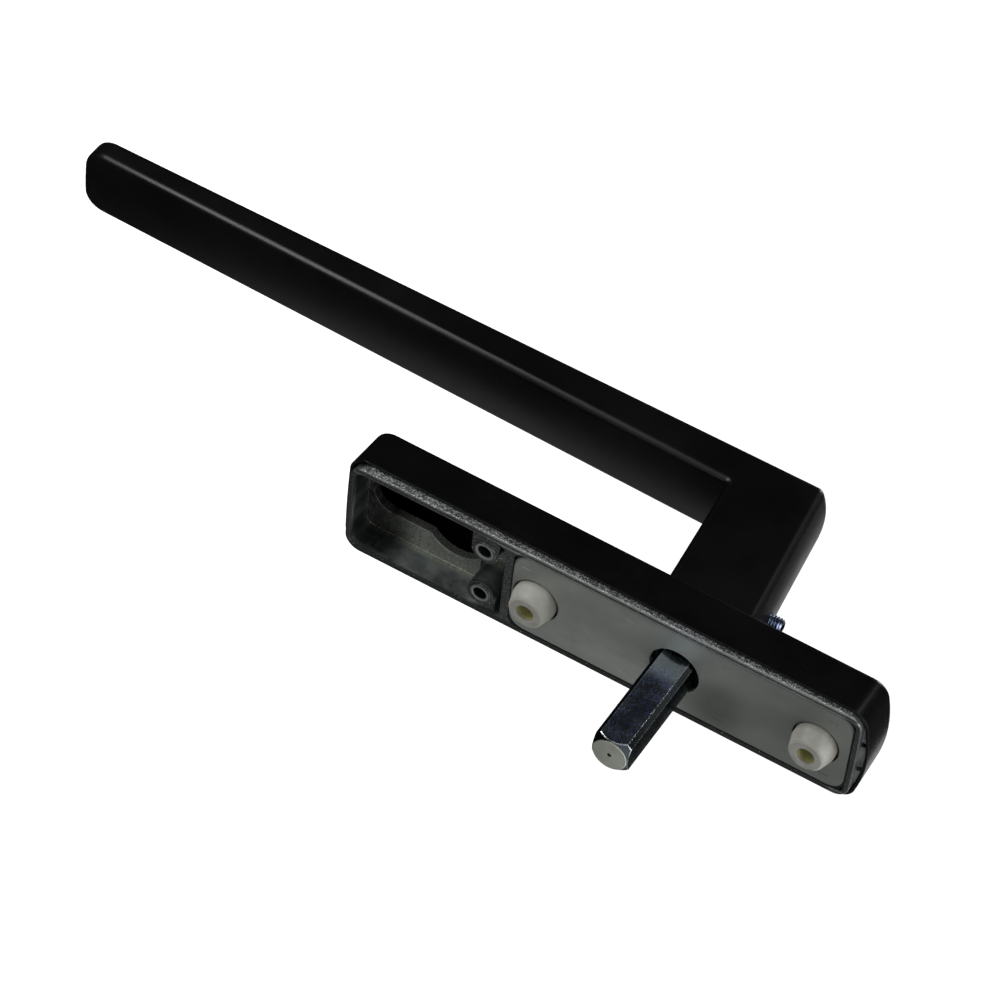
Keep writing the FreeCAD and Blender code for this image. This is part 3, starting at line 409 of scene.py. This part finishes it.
def white_nylon(name, screw_height):
    """Natural nylon, waxy and slightly yellow, with a darker, olive painted shade down the screw hole and painted shade
    on its +z side near the plate.
    """
    material, tree, shader = start_material(name)
    place = object_place(tree)
    rolled, edge = softened_edges(tree, 0.55 * MM)
    centred = add(tree, "ShaderNodeMapping", {"Vector": place, "Location": (0, 0, -screw_height)})
    x, y, z = axes(tree, centred.outputs["Vector"])
    radius = maths(tree, "SQRT", maths(tree, "ADD", times(tree, x, x), times(tree, z, z)))
    # Painted shade, olive, down the screw hole.
    hole = times(tree, between(tree, radius, 2.72 * MM, 2.62 * MM), between(tree, y, 4.9 * MM, 4.2 * MM))
    cloud = noise(tree, place, 260, 4, 0.6)
    grain = noise(tree, place, 3200, 2)
    colour = mixed(tree, between(tree, cloud, 0.3, 0.7), (0.32, 0.315, 0.275, 1), (0.40, 0.40, 0.365, 1))
    colour = mixed(tree, hole, colour, (0.52, 0.50, 0.22, 1))
    colour = mixed(tree, times(tree, edge, 0.4), colour, (0.52, 0.52, 0.48, 1))
    # Painted shade on the lug's +z side near the plate.
    nylon_side_shade = times(tree, between(tree, z, 2.0 * MM, 6.5 * MM), between(tree, y, 5.0 * MM, 0.5 * MM))
    colour = mixed(tree, times(tree, nylon_side_shade, 0.75), colour, (0.13, 0.12, 0.10, 1))
    height = maths(tree, "ADD", times(tree, cloud, 0.6), times(tree, grain, 0.4))
    connect(tree, shader, {
        "Base Color": colour, "Roughness": between(tree, cloud, 0.3, 0.7, 0.38, 0.5),
        "Subsurface Weight": 0.25, "Subsurface Radius": (1.0, 0.85, 0.6), "Subsurface Scale": 0.8 * MM,
        "Normal": bumped(tree, height, 0.02 * MM, rolled)})
    return material


def black_nylon():
    """Black moulded nylon of the bearing bush."""
    material, tree, shader = start_material("black_moulded_nylon")
    place = object_place(tree)
    rolled, edge = softened_edges(tree, 0.1 * MM)
    cloud = noise(tree, place, 300, 4, 0.6)
    grain = noise(tree, place, 3600, 2)
    colour = mixed(tree, between(tree, cloud, 0.3, 0.7), (0.010, 0.010, 0.010, 1), (0.022, 0.022, 0.023, 1))
    colour = mixed(tree, times(tree, edge, 0.4), colour, (0.06, 0.06, 0.06, 1))
    connect(tree, shader, {
        "Base Color": colour, "Roughness": between(tree, cloud, 0.3, 0.7, 0.45, 0.6),
        "Normal": bumped(tree, grain, 0.01 * MM, rolled)})
    return material


# Threaded grub screw

def threaded_grub_screw():
    """Set screw with a real helical thread, a hex socket and a chamfered end."""
    steps = 48
    rows_per_turn = 8
    start = GRUB_START
    length = GRUB_END - GRUB_START
    rows = int(length / THREAD_PITCH * rows_per_turn)
    mesh = bmesh.new()
    rings = []
    for row in range(rows + 1):
        height = start + length * row / rows
        ring = []
        for step in range(steps):
            angle = 2 * math.pi * step / steps
            turn = (height / THREAD_PITCH - step / steps) % 1.0
            flank = min(1.0, max(0.0, abs(turn - 0.5) * 2 / 0.85 - 0.06))
            from_end = min(height - start, start + length - height)
            radius = GRUB_RADIUS - THREAD_DEPTH * flank
            radius = min(radius, GRUB_RADIUS - max(0.0, 0.7 * MM - from_end))
            ring.append(mesh.verts.new((radius * math.cos(angle), -GRUB_DEPTH + radius * math.sin(angle), height)))
        rings.append(ring)
    for lower, upper in zip(rings, rings[1:]):
        for step in range(steps):
            follow = (step + 1) % steps
            mesh.faces.new((lower[step], lower[follow], upper[follow], upper[step]))
    mesh.faces.new(reversed(rings[0]))
    corner = GRUB_SOCKET / 2 / math.cos(math.pi / 6)
    mouth, floor = [], []
    for step in range(steps):
        angle = 2 * math.pi * step / steps
        within = (angle + math.pi / 6) % (math.pi / 3) - math.pi / 6
        reach = corner * math.cos(math.pi / 6) / math.cos(within)
        x = reach * math.cos(angle)
        y = -GRUB_DEPTH + reach * math.sin(angle)
        mouth.append(mesh.verts.new((x, y, GRUB_END)))
        floor.append(mesh.verts.new((x, y, GRUB_END - GRUB_SOCKET_DEPTH)))
    top = rings[-1]
    for step in range(steps):
        follow = (step + 1) % steps
        mesh.faces.new((top[step], top[follow], mouth[follow], mouth[step]))
        mesh.faces.new((mouth[step], mouth[follow], floor[follow], floor[step]))
    mesh.faces.new(floor)
    bmesh.ops.recalc_face_normals(mesh, faces=mesh.faces)
    data = bpy.data.meshes.new("threaded_grub_screw")
    mesh.to_mesh(data)
    mesh.free()
    screw = bpy.data.objects.new("threaded_grub_screw", data)
    bpy.context.scene.collection.objects.link(screw)
    return screw


# Studio

def background_rays(tree):
    """1 for the rays that see the white background: camera, gloss and clear materials."""
    path = add(tree, "ShaderNodeLightPath")
    seen = maths(tree, "MAXIMUM", path.outputs["Is Camera Ray"], path.outputs["Is Glossy Ray"])
    return maths(tree, "MAXIMUM", seen, path.outputs["Is Transmission Ray"])


def make_world():
    world = bpy.data.worlds.new("studio")
    bpy.context.scene.world = world
    world.use_nodes = True
    tree = world.node_tree
    tree.nodes.clear()
    room = add(tree, "ShaderNodeBackground", {"Color": STUDIO_GREY, "Strength": 1.0})
    white = add(tree, "ShaderNodeBackground", {"Color": (1, 1, 1, 1), "Strength": 1.0})
    both = add(tree, "ShaderNodeMixShader", {
        0: background_rays(tree), 1: room.outputs[0], 2: white.outputs[0]})
    add(tree, "ShaderNodeOutputWorld", {"Surface": both.outputs[0]})


def make_floor():
    """Pale floor under the object, lifted to white for the camera but still taking its shadow."""
    data = bpy.data.meshes.new("studio_floor")
    half = FLOOR_SIZE / 2
    corners = [(-half, -half), (half, -half), (half, half), (-half, half)]
    data.from_pydata([(x, y, FLOOR_HEIGHT) for x, y in corners], [], [(0, 1, 2, 3)])
    floor = bpy.data.objects.new("studio_floor", data)
    bpy.context.scene.collection.objects.link(floor)
    material = bpy.data.materials.new("pale_floor")
    material.use_nodes = True
    tree = material.node_tree
    tree.nodes.clear()
    matt = add(tree, "ShaderNodeBsdfDiffuse", {"Color": FLOOR_COLOUR})
    lift = add(tree, "ShaderNodeEmission", {"Color": (1, 1, 1, 1), "Strength": times(tree, background_rays(tree), 0.8)})
    both = add(tree, "ShaderNodeAddShader", {0: matt.outputs[0], 1: lift.outputs[0]})
    add(tree, "ShaderNodeOutputMaterial", {"Surface": both.outputs[0]})
    data.materials.append(material)


def make_flag(name, centre, width, height, grey):
    """Studio card that faces the object and gives the gloss something dark or light to show."""
    centre = Vector(centre)
    facing = (-centre).to_track_quat("Z", "Y").to_matrix().to_4x4()
    data = bpy.data.meshes.new(name)
    corners = [(-width / 2, -height / 2, 0), (width / 2, -height / 2, 0), (width / 2, height / 2, 0), (-width / 2, height / 2, 0)]
    data.from_pydata([Matrix.Translation(centre) @ facing @ Vector(c) for c in corners], [], [(0, 1, 2, 3)])
    flag = bpy.data.objects.new(name, data)
    bpy.context.scene.collection.objects.link(flag)
    flag.visible_camera = False
    flag.visible_shadow = False
    flag.visible_diffuse = False
    material = bpy.data.materials.new(name)
    material.use_nodes = True
    tree = material.node_tree
    tree.nodes.clear()
    card = add(tree, "ShaderNodeEmission", {"Color": (grey, grey, grey, 1), "Strength": 1.0})
    add(tree, "ShaderNodeOutputMaterial", {"Surface": card.outputs[0]})
    data.materials.append(material)


def make_lamp(name, place, aim, width, height, power):
    data = bpy.data.lights.new(name, "AREA")
    data.shape = "RECTANGLE"
    data.size = width
    data.size_y = height
    data.energy = power
    lamp = bpy.data.objects.new(name, data)
    bpy.context.scene.collection.objects.link(lamp)
    lamp.location = place
    lamp.rotation_euler = (Vector(aim) - Vector(place)).to_track_quat("-Z", "Y").to_euler()
    return lamp


def make_camera():
    data = bpy.data.cameras.new("camera")
    data.lens = CAMERA_LENS
    data.sensor_width = SENSOR_WIDTH
    data.clip_start = 0.05
    data.clip_end = 50.0
    camera = bpy.data.objects.new("camera", data)
    bpy.context.scene.collection.objects.link(camera)
    back = (CAMERA_PLACE - CAMERA_AIM).normalized()
    right = CAMERA_UP.cross(back).normalized()
    up = back.cross(right)
    turn = Matrix((right, up, back)).transposed().to_4x4()
    camera.matrix_world = Matrix.Translation(CAMERA_PLACE) @ turn
    bpy.context.scene.camera = camera


# Dressing

def dress(name, material):
    data = nodes[name].data
    data.materials.clear()
    data.materials.append(material)


coating = black_coating("satin_black_coating", 0.31)
cover_coating = black_coating("satin_black_cover_coating", 0.27)
casting = die_cast()
plated = bright_steel("plated_small_parts", (0.07, 0.10, 0.19, 1), (0.24, 0.28, 0.38, 1), 0.20)
hardened = bright_steel("oiled_spring_steel", (0.16, 0.16, 0.17, 1), (0.30, 0.30, 0.31, 1), 0.32)
sintered = bright_steel("sintered_steel", (0.20, 0.20, 0.21, 1), (0.34, 0.34, 0.34, 1), 0.45)

dress("lever", coating)
dress("cover", cover_coating)
dress("base", casting)
dress("back_plate", plate_steel())
dress("spindle", spindle_steel())
dress("grub_screw", plated)
dress("support_lug_upper", white_nylon("white_nylon_upper", SCREW_HEIGHTS[0]))
dress("support_lug_lower", white_nylon("white_nylon_lower", SCREW_HEIGHTS[1]))
dress("bearing_bush", black_nylon())
dress("index_cam", sintered)
dress("index_spring_left", hardened)
dress("index_spring_right", hardened)
dress("thrust_washer", plated)
dress("retaining_ring", hardened)

screw = threaded_grub_screw()
screw.data.materials.append(plated)
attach(screw, "handle")
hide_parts("grub_screw")

make_world()
make_floor()
for card in STUDIO_CARDS:
    make_flag(*card)
for lamp in LAMPS:
    make_lamp(*lamp)
make_camera()

scene = bpy.context.scene
scene.view_settings.view_transform = "Standard"
